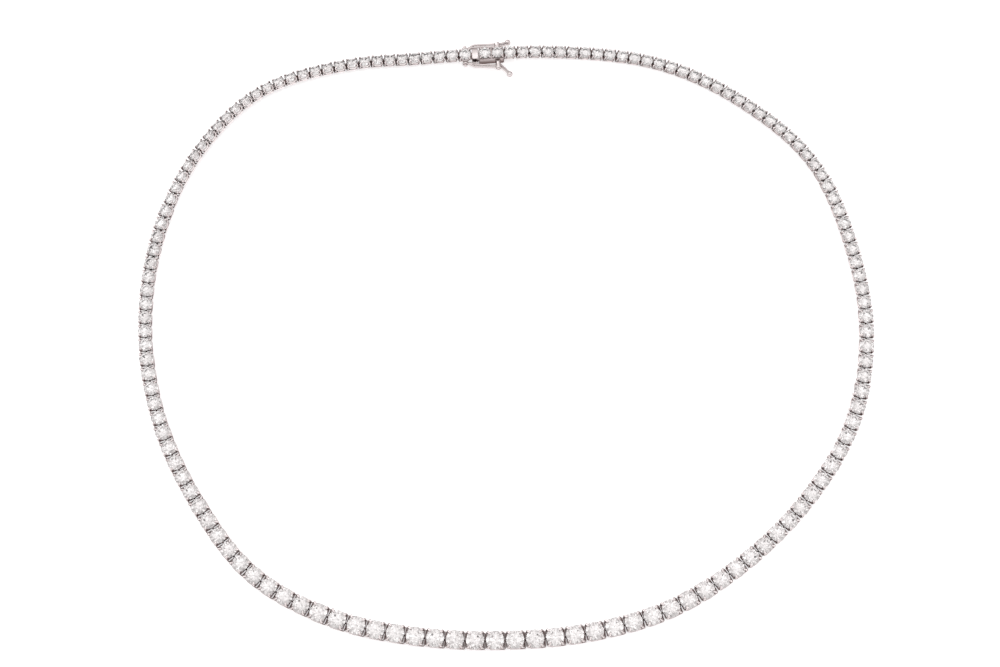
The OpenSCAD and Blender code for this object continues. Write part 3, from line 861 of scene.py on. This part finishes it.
def add(tree, kind, **values):
    """New node with inputs or settings given by name."""
    node = tree.nodes.new(kind)
    for key, value in values.items():
        if key in node.inputs:
            node.inputs[key].default_value = value
        else:
            setattr(node, key, value)
    return node


def ramp_between(tree, factor, low, high, start=0.0, stop=1.0):
    """Colour that goes from low to high while the factor goes from start to stop."""
    ramp = add(tree, "ShaderNodeValToRGB")
    ramp.color_ramp.elements[0].position, ramp.color_ramp.elements[1].position = start, stop
    ramp.color_ramp.elements[0].color, ramp.color_ramp.elements[1].color = (*low, 1), (*high, 1)
    tree.links.new(factor, ramp.inputs["Fac"])
    return ramp.outputs["Color"]


def white_gold():
    """Polished white gold: polishing waves, fine scratches, painted shade in the gaps between links and on
    shaded parts, and a painted dark rim where the surface turns away from the view.
    """
    made, tree, shader = new_material("white_gold")
    shader.inputs["Metallic"].default_value = 1.0
    where = add(tree, "ShaderNodeTexCoord").outputs["Object"]
    tone = add(tree, "ShaderNodeTexNoise", Scale=420.0, Detail=3.0)
    grain = add(tree, "ShaderNodeTexNoise", Scale=5200.0, Detail=4.0)
    for noise in (tone, grain):
        tree.links.new(where, noise.inputs["Vector"])
    unshaded_tone = ramp_between(tree, tone.outputs["Fac"], *GOLD_TONES, 0.3, 0.7)
    # Painted shade from each point's value darkens the colour towards the shade colour
    depth = add(tree, "ShaderNodeAttribute", attribute_name="depth")
    mix = add(tree, "ShaderNodeMix", data_type="RGBA")
    tree.links.new(depth.outputs["Fac"], mix.inputs["Factor"])
    # Painted dark rim where the surface turns away from the view
    turned = add(tree, "ShaderNodeLayerWeight", Blend=0.5).outputs["Facing"]
    edge = add(tree, "ShaderNodeMix", data_type="RGBA")
    tree.links.new(ramp_between(tree, turned, (0, 0, 0), (1, 1, 1), 0.3, 0.75), edge.inputs["Factor"])
    tree.links.new(unshaded_tone, edge.inputs["A"])
    edge.inputs["B"].default_value = (*GOLD_PAINTED_RIM, 1)
    tree.links.new(edge.outputs["Result"], mix.inputs["A"])
    mix.inputs["B"].default_value = (*GOLD_PAINTED_SHADE, 1)
    tree.links.new(mix.outputs["Result"], shader.inputs["Base Color"])
    shader.inputs["Specular Tint"].default_value = (*GOLD_GLANCE, 1)
    rough = add(tree, "ShaderNodeMapRange")
    rough.inputs["From Min"].default_value, rough.inputs["From Max"].default_value = 0.3, 0.7
    rough.inputs["To Min"].default_value, rough.inputs["To Max"].default_value = 0.10, 0.24
    tree.links.new(grain.outputs["Fac"], rough.inputs["Value"])
    tree.links.new(rough.outputs["Result"], shader.inputs["Roughness"])
    bump = add(tree, "ShaderNodeBump", Strength=0.08, Distance=0.00002)
    tree.links.new(grain.outputs["Fac"], bump.inputs["Height"])
    tree.links.new(bump.outputs["Normal"], shader.inputs["Normal"])
    return made


def diamond():
    """Clear stone whose tint drifts a little from stone to stone."""
    made, tree, shader = new_material("diamond")
    where = add(tree, "ShaderNodeTexCoord").outputs["Object"]
    tone = add(tree, "ShaderNodeTexNoise", Scale=260.0, Detail=1.0)
    tree.links.new(where, tone.inputs["Vector"])
    tint = ramp_between(tree, tone.outputs["Fac"], *STONE_TONES, 0.35, 0.65)
    tree.links.new(tint, shader.inputs["Base Color"])
    shader.inputs["Transmission Weight"].default_value = 1.0
    shader.inputs["IOR"].default_value = DIAMOND_IOR
    shader.inputs["Roughness"].default_value = 0.0
    return made


def pale_floor():
    """Pale matt sheet, lit a little from below as a light table is."""
    made, tree, shader = new_material("pale_floor")
    where = add(tree, "ShaderNodeTexCoord").outputs["Object"]
    tone = add(tree, "ShaderNodeTexNoise", Scale=60.0, Detail=2.0)
    tree.links.new(where, tone.inputs["Vector"])
    tint = ramp_between(tree, tone.outputs["Fac"], *FLOOR_TONES)
    tree.links.new(tint, shader.inputs["Base Color"])
    shader.inputs["Roughness"].default_value = 0.9
    shader.inputs["Specular IOR Level"].default_value = 0.1
    shader.inputs["Emission Color"].default_value = (1, 1, 1, 1)
    shader.inputs["Emission Strength"].default_value = FLOOR_GLOW
    return made


# Pieces

GOLD = white_gold()
STONE = diamond()
# Angle in degrees from which an edge of the metal stays sharp, and how far a stone may sit askew
CREASE = 38
STONE_LEAN = 0.03

random.seed(141)
right_metal, left_metal = Parts(), Parts()
right_stones, left_stones, clasp_stones = Parts(), Parts(), Parts()
for i, p in enumerate(LENGTHS):
    place = at_link(i)
    link(right_metal if i < HALF_COUNT else left_metal, p, place)
    lean_x = turn_about("x", random.uniform(-STONE_LEAN, STONE_LEAN))
    lean_y = turn_about("y", random.uniform(-STONE_LEAN, STONE_LEAN))
    askew = place @ moved(0, 0, girdle_z(p)) @ lean_x @ lean_y @ moved(0, 0, -girdle_z(p))
    brilliant(right_stones if i < HALF_COUNT else left_stones, p, askew, random.uniform(0, math.pi / 4))
for x, spin in ((STUD_X, 0.2), (CLASP_LENGTH - PITCH / 2, 0.5)):
    brilliant(clasp_stones, PITCH, AT_CLASP @ moved(x, 0, CLASP_LIFT), spin)
for i in range(BOX_STONES):
    brilliant(clasp_stones, PITCH, AT_CLASP @ moved(box_stone_x(i), 0, SEAT_Z), 0.35 * i)


def in_metal(parts, name, body, replaced):
    parts.build(name, body, replaced, "white_gold", GOLD, CREASE)


in_metal(right_metal, "chain_right", "chain", "links_right")
in_metal(left_metal, "chain_left", "chain", "links_left")
right_stones.build("brilliants_right", "chain", "stones_right", "diamond", STONE)
left_stones.build("brilliants_left", "chain", "stones_left", "diamond", STONE)
clasp_stones.build("brilliants_clasp", "chain", "stones_clasp", "diamond", STONE)
in_metal(clasp_box_parts(), "box_of_clasp", "chain", "clasp_box")
in_metal(clasp_tongue_parts(), "tongue_of_clasp", "chain", "clasp_tongue")
in_metal(catch_parts(-1, REACH_FRONT, TAIL_REACH_FRONT), "safety_catch_front", "front_catch", "catch_front")
in_metal(catch_parts(1, REACH_BACK, TAIL_REACH_BACK), "safety_catch_back", "back_catch", "catch_back")


# Floor, light and camera

def floor():
    """Sheet that the necklace lies on."""
    n = FLOOR_CELLS
    grid = np.linspace(-FLOOR_REACH, FLOOR_REACH, n + 1)
    points = [[x, y, -FLOOR_DROP] for y in grid for x in grid]
    faces = [[j * (n + 1) + i, j * (n + 1) + i + 1, (j + 1) * (n + 1) + i + 1, (j + 1) * (n + 1) + i]
             for j in range(n) for i in range(n)]
    mesh = bpy.data.meshes.new("floor")
    mesh.from_pydata(points, [], faces)
    mesh.materials.append(pale_floor())
    made = bpy.data.objects.new("floor", mesh)
    bpy.context.collection.objects.link(made)


def soft_light(name, place, width, height, power):
    """Rectangular light that faces the necklace."""
    data = bpy.data.lights.new(name, "AREA")
    data.shape, data.size, data.size_y, data.energy = "RECTANGLE", width, height, power
    made = bpy.data.objects.new(name, data)
    made.location = place
    made.rotation_mode = "QUATERNION"
    made.rotation_quaternion = (-Vector(place)).to_track_quat("-Z", "Y")
    bpy.context.collection.objects.link(made)


def studio():
    """Even bright surroundings, broken into soft patches that the facets pick up."""
    world = bpy.data.worlds.new("studio")
    bpy.context.scene.world = world
    world.use_nodes = True
    sky = world.node_tree
    up = add(sky, "ShaderNodeTexCoord").outputs["Generated"]
    parted = add(sky, "ShaderNodeSeparateXYZ")
    sky.links.new(up, parted.inputs[0])
    panels = add(sky, "ShaderNodeTexVoronoi", Scale=8.0)
    sky.links.new(up, panels.inputs["Vector"])
    both = add(sky, "ShaderNodeMix", data_type="RGBA", blend_type="MULTIPLY")
    both.inputs["Factor"].default_value = 1.0
    shade = ramp_between(sky, parted.outputs["Z"], *SKY_TONES, 0.02, 0.6)
    patches = ramp_between(sky, panels.outputs["Distance"], *PATCH_TONES, 0.25, 0.6)
    sky.links.new(shade, both.inputs["A"])
    sky.links.new(patches, both.inputs["B"])
    sky.links.new(both.outputs["Result"], sky.nodes["Background"].inputs["Color"])


def view():
    """Camera above the necklace and a little in front of it."""
    camera = bpy.data.objects.new("camera", bpy.data.cameras.new("camera"))
    camera.data.lens = LENS
    camera.data.sensor_width = FILM_WIDTH
    camera.location = Vector(CAMERA_PLACE) * MM
    camera.rotation_euler = (math.radians(CAMERA_TILT), 0, 0)
    camera.data.clip_start, camera.data.clip_end = 0.01, 10
    bpy.context.collection.objects.link(camera)
    bpy.context.scene.camera = camera
    bpy.context.scene.view_settings.view_transform = "Standard"


floor()
for name, values in LIGHTS.items():
    soft_light(name, *values)
studio()
view()
